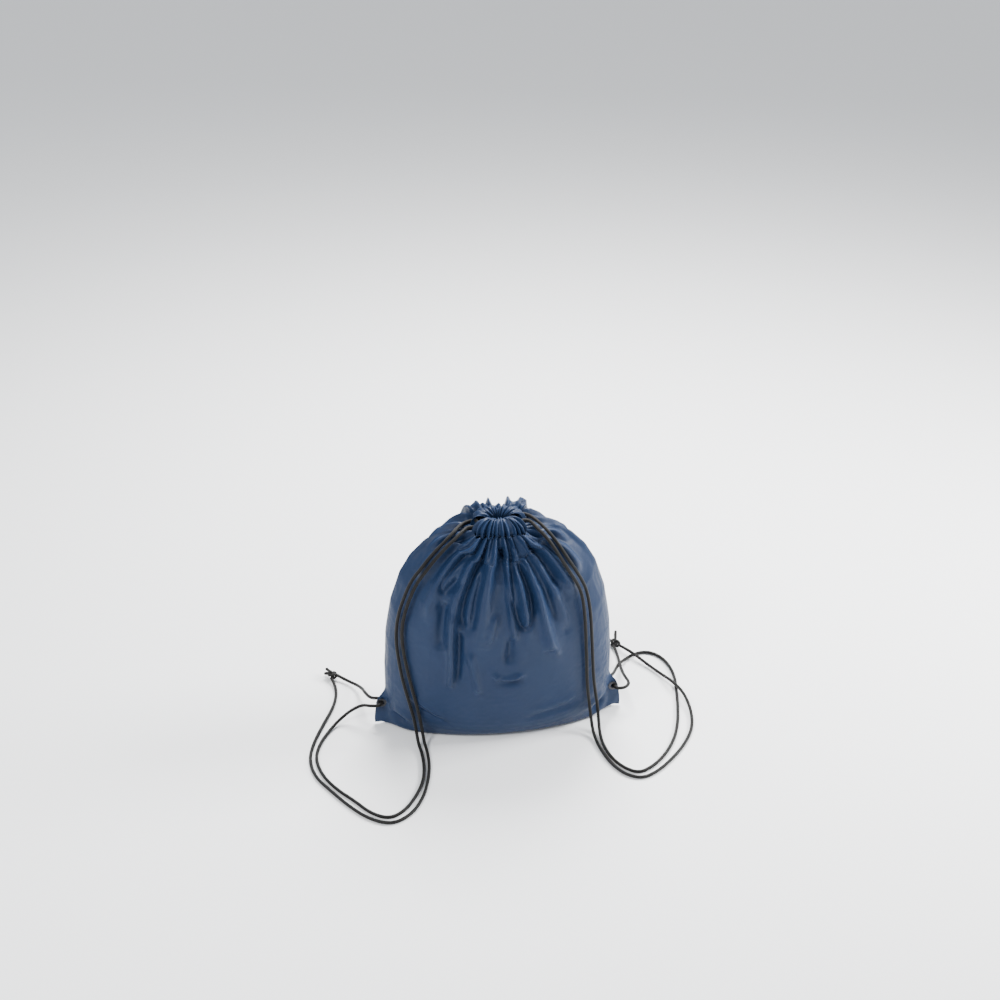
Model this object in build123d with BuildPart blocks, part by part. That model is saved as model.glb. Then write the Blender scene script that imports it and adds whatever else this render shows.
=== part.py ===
from build123d import *
import math
import os

# Drawstring sack, standing filled on its base with its mouth drawn shut.
# +X is the sack's right, -Y its front, +Z up; the origin is the centre of the base.
os.makedirs("parts", exist_ok=True)

fabric = 1.6            # cloth panel, drawn thicker than the real 0.2 mm
seam_half = 0.6         # half the thickness of the seam allowances between the panels
seam_width = 9
cord_d = 4.5            # braided drawcord

# cross sections of the filled body: height, half width, half depth
body_sections = [
    (0, 146, 47),
    (8, 148.5, 54),
    (25, 149.5, 59),
    (60, 151, 61),
    (100, 152, 62),
    (150, 149, 61.5),
    (200, 141, 59),
    (240, 128, 54),
    (265, 113.5, 48.5),
    (285, 94, 42),
    (293, 80, 38),
    (297.5, 60, 31),
    (299, 33, 19),
]
neck_height = 299

# flat bottom corners, where both panels lie together round an eyelet
corner_root = 138
corner_top = 70
corner_outline = [
    (150, 4), (163, 3.5), (168, 8), (167, 20), (165, 34), (164.5, 45), (159, 58), (150.5, corner_top),
]
corner_ply = 1.2
corner_face = seam_half + corner_ply
eyelet_x = 157.5
eyelet_z = 35
eyelet_bore = 3.3
eyelet_barrel = 4.0
eyelet_flange = 6.5
eyelet_roll = 5.2
flange_thickness = 0.8
roll_thickness = 0.7

# gathered cord channels round the mouth
channel_height = 17
channel_half_width = 30
channel_end_depth = 14.5
channel_middle_depth = 19
mouth_half_width = 14
mouth_half_depth = 7
ruffle_count = 17
ruffle_depth = 0.9
tunnel_width = 6
tunnel_height = 11.5

# the cords inside the channels: each leaves on its own side and turns back at the other
run_half_width = 31
run_side = 8.5
run_middle = 11.5
upper_run = 308.8
lower_run = 303.4

knot_radius = 7.5
tail_length = 14

# Free cord routes, chosen by hand. Each cord leaves the channels as two strands, goes down over
# the shoulder, lies in a loop on the ground and comes back to its own bottom corner.
left_front_route = [
    (-31, -8.5, 303.4),
    (-39, -6.94, 303.4),
    (-47, -16.5, 303),
    (-57, -25, 298),
    (-67, -29.8, 291.5),
    (-84, -33, 273.8),
    (-97, -34.2, 256.5),
    (-109, -33.3, 238.5),
    (-118, -33, 216.5),
    (-125, -33, 194),
    (-129, -33.2, 172),
    (-129.2, -35.6, 150),
    (-126.7, -38.2, 128),
    (-123, -41, 105.5),
    (-118.6, -43.2, 82),
    (-113.4, -45.2, 58),
    (-109, -47, 32),
    (-106, -56, 7),
    (-103, -74, 2.5),
    (-102.5, -102, 2.5),
    (-107, -134, 2.5),
    (-117, -168, 2.5),
    (-134, -197, 2.5),
    (-160, -212, 2.5),
    (-188, -197, 2.5),
    (-211, -170, 2.5),
    (-233, -137, 2.5),
    (-252, -106, 2.5),
    (-258, -70, 2.5),
    (-251, -35, 2.5),
    (-237, 3, 2.5),
    (-223, 38, 2.5),
    (-217, 66, 2.5),
    (-218, 90, 3.5),
    (-223, 103.5, 6.5),
]
left_back_route = [
    (-31, 8.5, 303.4),
    (-39, 6.94, 303.4),
    (-50, -3, 303),
    (-60, -16, 300.5),
    (-71, -24.5, 293.5),
    (-89, -28, 276.5),
    (-101.5, -29.7, 260),
    (-115, -28.5, 241),
    (-124.3, -28.1, 217.5),
    (-132, -27.8, 194),
    (-136, -28, 170),
    (-136.7, -30.6, 147),
    (-134.6, -33, 124),
    (-131.5, -36.2, 100.5),
    (-126.8, -38.8, 77),
    (-121.5, -41, 53.5),
    (-116.2, -43.8, 29),
    (-114, -56, 6.5),
    (-110.5, -75, 2.5),
    (-109.5, -102, 2.5),
    (-113, -132, 2.5),
    (-124, -160, 2.5),
    (-140, -187, 2.5),
    (-161, -201, 2.5),
    (-184, -188, 2.5),
    (-204, -160, 2.5),
    (-224, -137, 2.5),
    (-242, -106, 2.5),
    (-250, -70, 2.5),
    (-243, -38, 2.5),
    (-227, -8, 2.8),
    (-212, 6, 9),
    (-197, 8, 20),
    (-183, 3, 30),
    (-172, -7.5, 34.5),
    (-157.5, -8.5, 35),
    (-157.5, 8.5, 35),
    (-172, 11, 34),
    (-179, 34, 28),
    (-181, 57, 17),
    (-187, 78, 8.5),
    (-199, 94, 5),
    (-211.5, 105, 6.5),
    (-216, 108.5, 7.6),
]
right_front_route = [
    (31, -8.5, 308.8),
    (39, -6.94, 308.8),
    (47, -18.5, 303),
    (57.5, -29.5, 295.5),
    (67.5, -36.7, 282.3),
    (78, -40.7, 263.5),
    (90, -42.2, 243),
    (100, -41.8, 224),
    (105, -43, 206),
    (107.7, -44.4, 183.5),
    (109.4, -45.5, 160),
    (110.4, -46.3, 136),
    (111.9, -46.2, 112),
    (112.8, -46, 86.5),
    (115, -44.5, 60),
    (118.6, -44.5, 31),
    (120, -59, 7),
    (122, -78, 2.5),
    (126, -103, 2.5),
    (134, -130, 2.5),
    (148, -152, 2.5),
    (168, -162, 2.5),
    (191, -150, 2.5),
    (214, -128, 2.5),
    (237, -100, 2.5),
    (255, -67, 2.5),
    (262, -32, 3.5),
    (259.5, 2, 8.6),
    (251, 30, 8.6),
    (239, 58, 4),
    (224, 83, 4.5),
    (209, 105, 8.6),
    (198, 121, 8.8),
    (191, 130.5, 8.4),
]
right_back_route = [
    (31, 8.5, 308.8),
    (39, 6.94, 308.8),
    (50, -5, 305),
    (61, -21.5, 299),
    (73, -32.3, 285.5),
    (84.5, -37.1, 266),
    (96.8, -38.4, 245.5),
    (107.7, -37.9, 224.5),
    (112.8, -39.3, 205),
    (116.2, -40.4, 181.5),
    (117.8, -41.9, 157.5),
    (119.3, -42.3, 134),
    (120.7, -42.3, 109),
    (122.4, -41.4, 83.5),
    (125.8, -39.2, 57),
    (130, -39.5, 29.5),
    (130, -53, 7),
    (129, -72, 2.5),
    (131, -96, 2.5),
    (137, -119, 2.5),
    (149, -139, 2.5),
    (166, -151, 2.5),
    (187, -139, 2.5),
    (207, -118, 2.5),
    (225, -89, 2.5),
    (238, -54, 2.5),
    (246, -18, 2.5),
    (252, 18, 2.5),
    (257, 54, 2.5),
    (254, 86, 2.5),
    (243, 109, 2.5),
    (227, 118, 2.5),
    (209, 113, 2.5),
    (195, 101, 3.5),
    (183, 84, 9),
    (174, 62, 16),
    (166, 38, 26),
    (157.5, 20, 35),
    (157.5, -8.5, 35),
    (173, -9.5, 35),
    (182, 4, 33),
    (180, 30, 26),
    (181, 60, 17),
    (184, 90, 10),
    (185, 116, 7),
    (184, 130, 6.8),
]
left_knot = (-221, 109, 7.6)
right_knot = (187, 136, 7.6)
left_tails = [(-0.35, 0.93, 0.1), (-0.9, 0.35, 0.25)]
right_tails = [(0.2, 0.9, 0.4), (-0.6, 0.8, 0.15)]


def corner_tab(mirror_side):
    # outline of one flat corner, drawn with +X across and +Y up
    with BuildSketch() as tab:
        with BuildLine():
            edge = Spline(*[(mirror_side * x, z) for x, z in corner_outline])
            Polyline(
                edge @ 1,
                (mirror_side * corner_root, corner_top),
                (mirror_side * corner_root, 4),
                edge @ 0,
            )
        make_face()
        with Locations((mirror_side * eyelet_x, eyelet_z)):
            Circle(eyelet_barrel + 0.1, mode=Mode.SUBTRACT)
    return tab.sketch


corner_tabs = {mirror_side: corner_tab(mirror_side) for mirror_side in (-1, 1)}


def cloth_panel(side):
    base_half_width, base_half_depth = body_sections[0][1:]
    inner_sections = [(fabric, base_half_width - 1, base_half_depth - 1)]
    for height, half_width, half_depth in body_sections[1:]:
        drop = 0.8 * fabric * height / neck_height
        inner_sections.append((height - drop, half_width - fabric, half_depth - fabric))
    inner_sections.append((neck_height + 1, half_width - fabric, half_depth - fabric))
    edge = side * seam_half
    with BuildPart() as panel:
        for sections, back, mode in (
            (body_sections, edge, Mode.ADD),
            (inner_sections, -2 * side, Mode.SUBTRACT),
        ):
            for height, half_width, half_depth in sections:
                with BuildSketch(Plane.XY.offset(height)):
                    with BuildLine():
                        EllipticalCenterArc(
                            (0, edge), half_width, half_depth - seam_half, 0, arc_size=side * 180
                        )
                        if back == edge:
                            Line((-half_width, edge), (half_width, edge))
                        else:
                            Polyline(
                                (-half_width, edge),
                                (-half_width, back),
                                (half_width, back),
                                (half_width, edge),
                            )
                    make_face()
            loft(ruled=True, mode=mode)
        for mirror_side in (-1, 1):
            with BuildSketch(Plane.XZ.offset(-side * seam_half)):
                add(corner_tabs[mirror_side])
            extrude(amount=-side * corner_ply)
    return panel


def side_seam(mirror_side):
    # both panels' edges, sewn together and turned inside
    outer = [(half_width, height) for height, half_width, half_depth in body_sections if height > corner_top]
    inner = []
    for i, (x, z) in enumerate(outer):
        ahead = outer[min(i + 1, len(outer) - 1)]
        behind = outer[max(i - 1, 0)]
        along = Vector(ahead[0] - behind[0], ahead[1] - behind[1]).normalized()
        inner.append((x - seam_width * along.Y, z + seam_width * along.X))
    with BuildPart() as seam:
        with BuildSketch(Plane.XZ):
            add(corner_tabs[mirror_side])
            with BuildLine():
                outside = Spline(*[(mirror_side * x, z) for x, z in [corner_outline[-1]] + outer])
                inside = Spline(*[(mirror_side * x, z) for x, z in [(corner_root, corner_top)] + inner])
                Line(outside @ 0, inside @ 0)
                Line(outside @ 1, inside @ 1)
            make_face()
        extrude(amount=seam_half, both=True)
    return seam


def cord_channel(side):
    # gathered hem with its tunnel for the cords; its outer face stands in ruffles
    with BuildPart() as channel:
        with BuildSketch(Plane.XY.offset(neck_height)):
            with BuildLine():
                ruffle = []
                for i in range(2 * ruffle_count + 1):
                    t = 1 - i / ruffle_count
                    depth = channel_middle_depth - (channel_middle_depth - channel_end_depth) * t * t
                    ruffle.append((t * channel_half_width, side * (depth + ruffle_depth * (-1) ** i)))
                outer = Spline(*ruffle)
                near = side * seam_half
                Polyline(outer @ 0, (channel_half_width, near), (mouth_half_width, near))
                ThreePointArc(
                    (mouth_half_width, near),
                    (0, side * mouth_half_depth),
                    (-mouth_half_width, near),
                )
                Polyline((-mouth_half_width, near), (-channel_half_width, near), outer @ 1)
            make_face()
        extrude(amount=channel_height)
        with BuildLine():
            tunnel = ThreePointArc(
                (-run_half_width, side * run_side, (upper_run + lower_run) / 2),
                (0, side * run_middle, (upper_run + lower_run) / 2),
                (run_half_width, side * run_side, (upper_run + lower_run) / 2),
            )
        with BuildSketch(Plane(tunnel @ 0, x_dir=(0, 0, 1), z_dir=tunnel % 0)):
            Rectangle(tunnel_height, tunnel_width)
        sweep(mode=Mode.SUBTRACT)
    return channel


def channel_run(exit_side, height):
    # one cord inside both channels, turning back at the side away from its exit
    far = -exit_side * run_half_width
    with BuildPart() as run:
        with BuildLine() as path:
            first = ThreePointArc(
                (-far, -run_side, height),
                (0, -run_middle, height),
                (far, -run_side, height),
            )
            TangentArc((far, -run_side, height), (far, run_side, height), tangent=first % 1)
            ThreePointArc(
                (far, run_side, height),
                (0, run_middle, height),
                (-far, run_side, height),
            )
        with BuildSketch(Plane(first @ 0, z_dir=first % 0)):
            Circle(cord_d / 2)
        sweep()
    return run


def bend_radii(points):
    # each bend is as large as its two runs allow
    corners = [Vector(*p) for p in points]
    radii = []
    for before, here, after in zip(corners, corners[1:], corners[2:]):
        turn = math.radians((here - before).get_angle(after - here))
        radii.append(0.45 * min((here - before).length, (after - here).length) / math.tan(turn / 2))
    return radii


def free_cord(name, points):
    radii = bend_radii(points)
    with BuildPart() as cord:
        with BuildLine() as path:
            FilletPolyline(*points, radius=radii)
        with BuildSketch(Plane(path.line @ 0, z_dir=path.line % 0)):
            Circle(cord_d / 2)
        sweep()
    length = sum(edge.length for edge in path.edges())
    ratio = cord.part.volume / (math.pi * cord_d**2 / 4 * length)
    print(name, "length", round(length, 1), "volume ratio", round(ratio, 4))
    print("  bend radii", [round(r, 1) for r in radii])
    return cord


def corner_eyelet(mirror_side):
    centre = (mirror_side * eyelet_x, eyelet_z)
    with BuildPart() as eyelet:
        with BuildSketch(Plane.XZ.offset(corner_face)):
            with Locations(centre):
                Circle(eyelet_flange)
                Circle(eyelet_bore, mode=Mode.SUBTRACT)
        extrude(amount=flange_thickness)
        fillet(eyelet.edges().filter_by(GeomType.CIRCLE).sort_by(Axis.Y)[:2], 0.3)
        with BuildSketch(Plane.XZ.offset(corner_face)):
            with Locations(centre):
                Circle(eyelet_barrel)
                Circle(eyelet_bore, mode=Mode.SUBTRACT)
        extrude(amount=-(2 * corner_face + flange_thickness))
        with BuildSketch(Plane.XZ.offset(-(corner_face + flange_thickness))):
            with Locations(centre):
                Circle(eyelet_roll)
                Circle(eyelet_bore, mode=Mode.SUBTRACT)
        extrude(amount=-roll_thickness)
        fillet(eyelet.edges().filter_by(GeomType.CIRCLE).sort_by(Axis.Y)[-2:], 0.3)
    return eyelet


def eyelet_washer(mirror_side):
    with BuildPart() as washer:
        with BuildSketch(Plane.XZ.offset(-corner_face)):
            with Locations((mirror_side * eyelet_x, eyelet_z)):
                Circle(eyelet_flange)
                Circle(eyelet_barrel + 0.05, mode=Mode.SUBTRACT)
        extrude(amount=-flange_thickness)
    return washer


def cord_tails(centre, directions):
    # heat-sealed ends that stand out of the knot
    with BuildPart() as tails:
        for direction in directions:
            along = Vector(*direction).normalized()
            start = Vector(*centre) + along * (knot_radius - 1)
            with BuildSketch(Plane(start, z_dir=along)):
                Circle(cord_d / 2)
            extrude(amount=tail_length)
        fillet(tails.edges().filter_by(GeomType.CIRCLE).group_by(
            lambda e: round((e.center() - Vector(*centre)).length))[-1], 0.6)
    return tails


panels = {"front": cloth_panel(-1), "back": cloth_panel(1)}
for name, panel in panels.items():
    panel.part.label = f"{name}_panel"
    export_step(panel.part, f"parts/{name}_panel.step")

for name, side in (("front", -1), ("back", 1)):
    channel = cord_channel(side)
    channel.part.label = f"{name}_cord_channel"
    export_step(channel.part, f"parts/{name}_cord_channel.step")

for name, mirror_side in (("left", -1), ("right", 1)):
    seam = side_seam(mirror_side)
    seam.part.label = f"{name}_side_seam"
    export_step(seam.part, f"parts/{name}_side_seam.step")
    eyelet = corner_eyelet(mirror_side)
    eyelet.part.label = f"{name}_corner_eyelet"
    export_step(eyelet.part, f"parts/{name}_corner_eyelet.step")
    washer = eyelet_washer(mirror_side)
    washer.part.label = f"{name}_eyelet_washer"
    export_step(washer.part, f"parts/{name}_eyelet_washer.step")

with BuildPart() as bottom_seam:
    with BuildSketch(Plane.XZ):
        with Locations((0, seam_width / 2)):
            Rectangle(2 * corner_root, seam_width)
    extrude(amount=seam_half, both=True)
bottom_seam.part.label = "bottom_seam"
export_step(bottom_seam.part, "parts/bottom_seam.step")

cords = {
    "left": (-1, lower_run, left_front_route, left_back_route, left_knot, left_tails),
    "right": (1, upper_run, right_front_route, right_back_route, right_knot, right_tails),
}
for name, (exit_side, height, front_route, back_route, knot_centre, tail_directions) in cords.items():
    run = channel_run(exit_side, height)
    run.part.label = f"{name}_cord_channel_run"
    export_step(run.part, f"parts/{name}_cord_channel_run.step")
    front_strand = free_cord(f"{name}_front_strand", front_route)
    front_strand.part.label = f"{name}_front_strand"
    export_step(front_strand.part, f"parts/{name}_front_strand.step")
    back_strand = free_cord(f"{name}_back_strand", back_route)
    back_strand.part.label = f"{name}_back_strand"
    export_step(back_strand.part, f"parts/{name}_back_strand.step")
    tails = cord_tails(knot_centre, tail_directions)
    tails.part.label = f"{name}_cord_tails"
    export_step(tails.part, f"parts/{name}_cord_tails.step")
    with BuildPart() as knot:
        with Locations(knot_centre):
            Sphere(knot_radius)
        add(front_strand.part, mode=Mode.SUBTRACT)
        add(back_strand.part, mode=Mode.SUBTRACT)
        add(tails.part, mode=Mode.SUBTRACT)
    knot.part.label = f"{name}_cord_knot"
    export_step(knot.part, f"parts/{name}_cord_knot.step")
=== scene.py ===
import bpy
import math
import numpy as np
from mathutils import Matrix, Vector


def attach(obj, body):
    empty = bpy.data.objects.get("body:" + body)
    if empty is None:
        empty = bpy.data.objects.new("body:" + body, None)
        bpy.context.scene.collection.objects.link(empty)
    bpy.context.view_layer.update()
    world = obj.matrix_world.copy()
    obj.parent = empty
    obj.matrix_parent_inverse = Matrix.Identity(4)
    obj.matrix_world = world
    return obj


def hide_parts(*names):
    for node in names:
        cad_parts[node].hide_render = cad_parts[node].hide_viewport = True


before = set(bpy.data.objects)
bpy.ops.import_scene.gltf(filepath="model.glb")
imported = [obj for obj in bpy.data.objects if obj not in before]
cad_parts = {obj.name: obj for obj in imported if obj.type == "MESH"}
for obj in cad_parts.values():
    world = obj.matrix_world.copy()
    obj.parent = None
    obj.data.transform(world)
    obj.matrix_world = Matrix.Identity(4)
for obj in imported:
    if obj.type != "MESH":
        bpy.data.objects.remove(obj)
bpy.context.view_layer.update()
scene = bpy.context.scene


# camera, floor and light

cameraSetup = {
    "place": (-0.2232, -1.8176, 1.3786),
    "tilt": 60.34,
    "turn": -7.083,
    "lens": 60,
}


def setCamera(setup):
    camera = bpy.data.objects.new("studioCamera", bpy.data.cameras.new("studioCamera"))
    scene.collection.objects.link(camera)
    camera.location = setup["place"]
    camera.rotation_euler = (math.radians(setup["tilt"]), 0, math.radians(setup["turn"]))
    camera.data.lens = setup["lens"]
    camera.data.sensor_width = 36
    scene.camera = camera


setCamera(cameraSetup)


def deselectAll():
    if bpy.context.object and bpy.context.object.mode != "OBJECT":
        bpy.ops.object.mode_set(mode="OBJECT")
    bpy.ops.object.select_all(action="DESELECT")


def pick(piece):
    deselectAll()
    piece.select_set(True)
    bpy.context.view_layer.objects.active = piece


def newPiece(mesh, material):
    mesh.shade_smooth()
    mesh.materials.append(material)
    piece = bpy.data.objects.new(mesh.name, mesh)
    scene.collection.objects.link(piece)
    return piece


def belongs(piece, node=None):
    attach(piece, "root")
    if node:
        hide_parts(node)


def newMaterial(name, look):
    material = bpy.data.materials.new(name)
    material.use_nodes = True
    shader = material.node_tree.nodes["Principled BSDF"]
    for socket, value in look.items():
        shader.inputs[socket].default_value = value
    return material, material.node_tree, shader


def addNode(tree, kind, settings=None, **values):
    node = tree.nodes.new(kind)
    for key, value in (settings or {}).items():
        setattr(node, key, value)
    for key, value in values.items():
        node.inputs[key.replace("_", " ")].default_value = value
    return node


def mixColour(tree, factor, first, second, blend="MIX"):
    # first and second are colours or sockets
    node = tree.nodes.new("ShaderNodeMix")
    node.data_type = "RGBA"
    node.blend_type = blend
    if isinstance(factor, (int, float)):
        node.inputs[0].default_value = factor
    else:
        tree.links.new(factor, node.inputs[0])
    for slot, value in ((6, first), (7, second)):
        if isinstance(value, tuple):
            node.inputs[slot].default_value = value
        else:
            tree.links.new(value, node.inputs[slot])
    return node.outputs[2]


studio = {
    "floorSize": 9,
    "floorTone": (0.93, 0.935, 0.94, 1),
    "skyTone": (0.93, 0.96, 1.0, 1),
    "skyStrength": 0.86,
    "lamps": [
        # place, point it faces, width, power
        ((-1.2, -1.0, 1.6), (0, 0, 0.15), 0.5, 31),
        ((1.5, 0.1, 1.1), (0, 0, 0.15), 0.6, 60),
        ((0.2, 0.9, 1.5), (0, 0, 0.2), 0.8, 70),
    ],
}


def buildStudio(setup):
    deselectAll()
    bpy.ops.mesh.primitive_plane_add(size=setup["floorSize"], location=(0, 0, -0.0002))
    floor = bpy.context.object
    floor.name = "studioFloor"
    bpy.ops.object.transform_apply(location=True)
    paper, tree, shader = newMaterial("studioPaper", {"Roughness": 0.75, "Specular IOR Level": 0.2})
    shader.inputs["Base Color"].default_value = setup["floorTone"]
    floor.data.materials.append(paper)
    world = bpy.data.worlds.new("studioSky")
    scene.world = world
    world.use_nodes = True
    world.node_tree.nodes["Background"].inputs["Color"].default_value = setup["skyTone"]
    world.node_tree.nodes["Background"].inputs["Strength"].default_value = setup["skyStrength"]
    for i, (place, aim, width, power) in enumerate(setup["lamps"]):
        lamp = bpy.data.lights.new(f"softbox{i}", "AREA")
        lamp.size = width
        lamp.energy = power
        holder = bpy.data.objects.new(f"softbox{i}", lamp)
        scene.collection.objects.link(holder)
        holder.location = place
        aimLine = Vector(aim) - Vector(place)
        holder.rotation_euler = aimLine.to_track_quat("-Z", "Y").to_euler()


buildStudio(studio)
print("sack: camera and studio ready")


# drawcords: one cord leaves each side of the mouth as two strands

cordLook = {
    "diameter": 0.0045,
    "sides": 24,
    "ringGap": 0.0008,
    "plaits": 6,  # strands wound each way
    "plaitPitch": 0.019,  # length of one turn
    "plaitRelief": 0.00024,
    "splineSteps": 20,
    "meltedTip": 0.0022,
}

cordRoutes = {
    "leftFrontCord": [
        (-0.031, -0.0085, 0.3034), (-0.039, -0.00694, 0.3034), (-0.047, -0.0165, 0.303),
        (-0.057, -0.025, 0.298), (-0.067, -0.0298, 0.2915), (-0.084, -0.033, 0.2738),
        (-0.097, -0.0342, 0.2565), (-0.109, -0.0333, 0.2385), (-0.118, -0.033, 0.2165),
        (-0.125, -0.033, 0.194), (-0.129, -0.0332, 0.172), (-0.1292, -0.0356, 0.15),
        (-0.1267, -0.0382, 0.128), (-0.123, -0.041, 0.1055), (-0.1186, -0.0432, 0.082),
        (-0.1134, -0.0452, 0.058), (-0.109, -0.047, 0.032), (-0.106, -0.056, 0.007),
        (-0.103, -0.074, 0.0025), (-0.1025, -0.102, 0.0025), (-0.107, -0.134, 0.0025),
        (-0.117, -0.168, 0.0025), (-0.134, -0.197, 0.0025), (-0.16, -0.212, 0.0025),
        (-0.188, -0.197, 0.0025), (-0.211, -0.17, 0.0025), (-0.233, -0.137, 0.0025),
        (-0.252, -0.106, 0.0025), (-0.258, -0.07, 0.0025), (-0.251, -0.035, 0.0025),
        (-0.237, 0.003, 0.0025), (-0.223, 0.038, 0.0025), (-0.217, 0.066, 0.0025),
        (-0.218, 0.09, 0.0035), (-0.223, 0.1035, 0.0065),
    ],
    "leftBackCord": [
        (-0.031, 0.0085, 0.3034), (-0.039, 0.00694, 0.3034), (-0.05, -0.003, 0.303),
        (-0.06, -0.016, 0.3005), (-0.071, -0.0245, 0.2935), (-0.089, -0.028, 0.2765),
        (-0.1015, -0.0297, 0.26), (-0.115, -0.0285, 0.241), (-0.1243, -0.0281, 0.2175),
        (-0.132, -0.0278, 0.194), (-0.136, -0.028, 0.17), (-0.1367, -0.0306, 0.147),
        (-0.1346, -0.033, 0.124), (-0.1315, -0.0362, 0.1005), (-0.1268, -0.0388, 0.077),
        (-0.1215, -0.041, 0.0535), (-0.1162, -0.0438, 0.029), (-0.114, -0.056, 0.0065),
        (-0.1105, -0.075, 0.0025), (-0.1095, -0.102, 0.0025), (-0.113, -0.132, 0.0025),
        (-0.124, -0.16, 0.0025), (-0.14, -0.187, 0.0025), (-0.161, -0.201, 0.0025),
        (-0.184, -0.188, 0.0025), (-0.204, -0.16, 0.0025), (-0.224, -0.137, 0.0025),
        (-0.242, -0.106, 0.0025), (-0.25, -0.07, 0.0025), (-0.243, -0.038, 0.0025),
        (-0.227, -0.008, 0.0028), (-0.212, 0.006, 0.009), (-0.197, 0.008, 0.02),
        (-0.183, 0.003, 0.03), (-0.172, -0.0075, 0.0345), (-0.1575, -0.0085, 0.035),
        (-0.1575, 0.0085, 0.035), (-0.172, 0.011, 0.034), (-0.179, 0.034, 0.028),
        (-0.181, 0.057, 0.017), (-0.187, 0.078, 0.0085), (-0.199, 0.094, 0.005),
        (-0.2115, 0.105, 0.0065), (-0.216, 0.1085, 0.0076),
    ],
    "rightFrontCord": [
        (0.031, -0.0085, 0.3088), (0.039, -0.00694, 0.3088), (0.047, -0.0185, 0.303),
        (0.0575, -0.0295, 0.2955), (0.0675, -0.0367, 0.2823), (0.078, -0.0407, 0.2635),
        (0.09, -0.0422, 0.243), (0.1, -0.0418, 0.224), (0.105, -0.043, 0.206),
        (0.1077, -0.0444, 0.1835), (0.1094, -0.0455, 0.16), (0.1104, -0.0463, 0.136),
        (0.1119, -0.0462, 0.112), (0.1128, -0.046, 0.0865), (0.115, -0.0445, 0.06),
        (0.1186, -0.0445, 0.031), (0.12, -0.059, 0.007), (0.122, -0.078, 0.0025),
        (0.126, -0.103, 0.0025), (0.134, -0.13, 0.0025), (0.148, -0.152, 0.0025),
        (0.168, -0.162, 0.0025), (0.191, -0.15, 0.0025), (0.214, -0.128, 0.0025),
        (0.237, -0.1, 0.0025), (0.255, -0.067, 0.0025), (0.262, -0.032, 0.0035),
        (0.2595, 0.002, 0.0086), (0.251, 0.03, 0.0086), (0.239, 0.058, 0.004),
        (0.224, 0.083, 0.0045), (0.209, 0.105, 0.0086), (0.198, 0.121, 0.0088),
        (0.191, 0.1305, 0.0084),
    ],
    "rightBackCord": [
        (0.031, 0.0085, 0.3088), (0.039, 0.00694, 0.3088), (0.05, -0.005, 0.305),
        (0.061, -0.0215, 0.299), (0.073, -0.0323, 0.2855), (0.0845, -0.0371, 0.266),
        (0.0968, -0.0384, 0.2455), (0.1077, -0.0379, 0.2245), (0.1128, -0.0393, 0.205),
        (0.1162, -0.0404, 0.1815), (0.1178, -0.0419, 0.1575), (0.1193, -0.0423, 0.134),
        (0.1207, -0.0423, 0.109), (0.1224, -0.0414, 0.0835), (0.1258, -0.0392, 0.057),
        (0.13, -0.0395, 0.0295), (0.13, -0.053, 0.007), (0.129, -0.072, 0.0025),
        (0.131, -0.096, 0.0025), (0.137, -0.119, 0.0025), (0.149, -0.139, 0.0025),
        (0.166, -0.151, 0.0025), (0.187, -0.139, 0.0025), (0.207, -0.118, 0.0025),
        (0.225, -0.089, 0.0025), (0.238, -0.054, 0.0025), (0.246, -0.018, 0.0025),
        (0.252, 0.018, 0.0025), (0.257, 0.054, 0.0025), (0.254, 0.086, 0.0025),
        (0.243, 0.109, 0.0025), (0.227, 0.118, 0.0025), (0.209, 0.113, 0.0025),
        (0.195, 0.101, 0.0035), (0.183, 0.084, 0.009), (0.174, 0.062, 0.016), (0.166, 0.038, 0.026),
        (0.1575, 0.02, 0.035), (0.1575, -0.0085, 0.035), (0.173, -0.0095, 0.035),
        (0.182, 0.004, 0.033), (0.18, 0.03, 0.026), (0.181, 0.06, 0.017), (0.184, 0.09, 0.01),
        (0.185, 0.116, 0.007), (0.184, 0.13, 0.0068),
    ],
}


def cordMaterial():
    black, tree, shader = newMaterial("blackBraid", {"Roughness": 0.6, "Specular IOR Level": 0.16,
                                                     "Sheen Weight": 0.06, "Sheen Roughness": 0.45})
    link = tree.links.new
    uv = addNode(tree, "ShaderNodeUVMap", {"uv_map": "CordUV"})
    grow = addNode(tree, "ShaderNodeMapping", Scale=(60, 900, 1))
    fibres = addNode(tree, "ShaderNodeTexNoise", Scale=1.0, Detail=3.0)
    link(uv.outputs["UV"], grow.inputs["Vector"])
    link(grow.outputs["Vector"], fibres.inputs["Vector"])
    # painted shade: the plait height paints the grooves between strands, and each strand where it
    # passes under the other set, darker than the lighter strand crowns
    plaitShading = addNode(tree, "ShaderNodeAttribute", {"attribute_name": "plait"})
    tone = mixColour(tree, plaitShading.outputs["Fac"],
                     (0.002, 0.002, 0.002, 1), (0.015, 0.014, 0.0135, 1))
    tone = mixColour(tree, fibres.outputs["Fac"], tone, (0.007, 0.0066, 0.0065, 1))
    link(tone, shader.inputs["Base Color"])
    bump = addNode(tree, "ShaderNodeBump", Strength=0.35, Distance=0.0002)
    link(fibres.outputs["Fac"], bump.inputs["Height"])
    link(bump.outputs["Normal"], shader.inputs["Normal"])
    return black


blackBraid = cordMaterial()


def routeLine(name, points, closed=False):
    # points along the smooth line of a listed route
    curve = bpy.data.curves.new(name, "CURVE")
    curve.dimensions = "3D"
    curve.resolution_u = cordLook["splineSteps"]
    spline = curve.splines.new("NURBS")
    spline.points.add(len(points) - 1)
    for knob, place in zip(spline.points, points):
        knob.co = (*place, 1)
    spline.order_u = 3
    spline.use_endpoint_u = not closed
    spline.use_cyclic_u = closed
    holder = bpy.data.objects.new(name, curve)
    scene.collection.objects.link(holder)
    mesh = bpy.data.meshes.new_from_object(holder)
    line = np.array([v.co for v in mesh.vertices])
    bpy.data.objects.remove(holder)
    bpy.data.curves.remove(curve)
    bpy.data.meshes.remove(mesh)
    return np.vstack([line, line[:1]]) if closed else line


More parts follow.
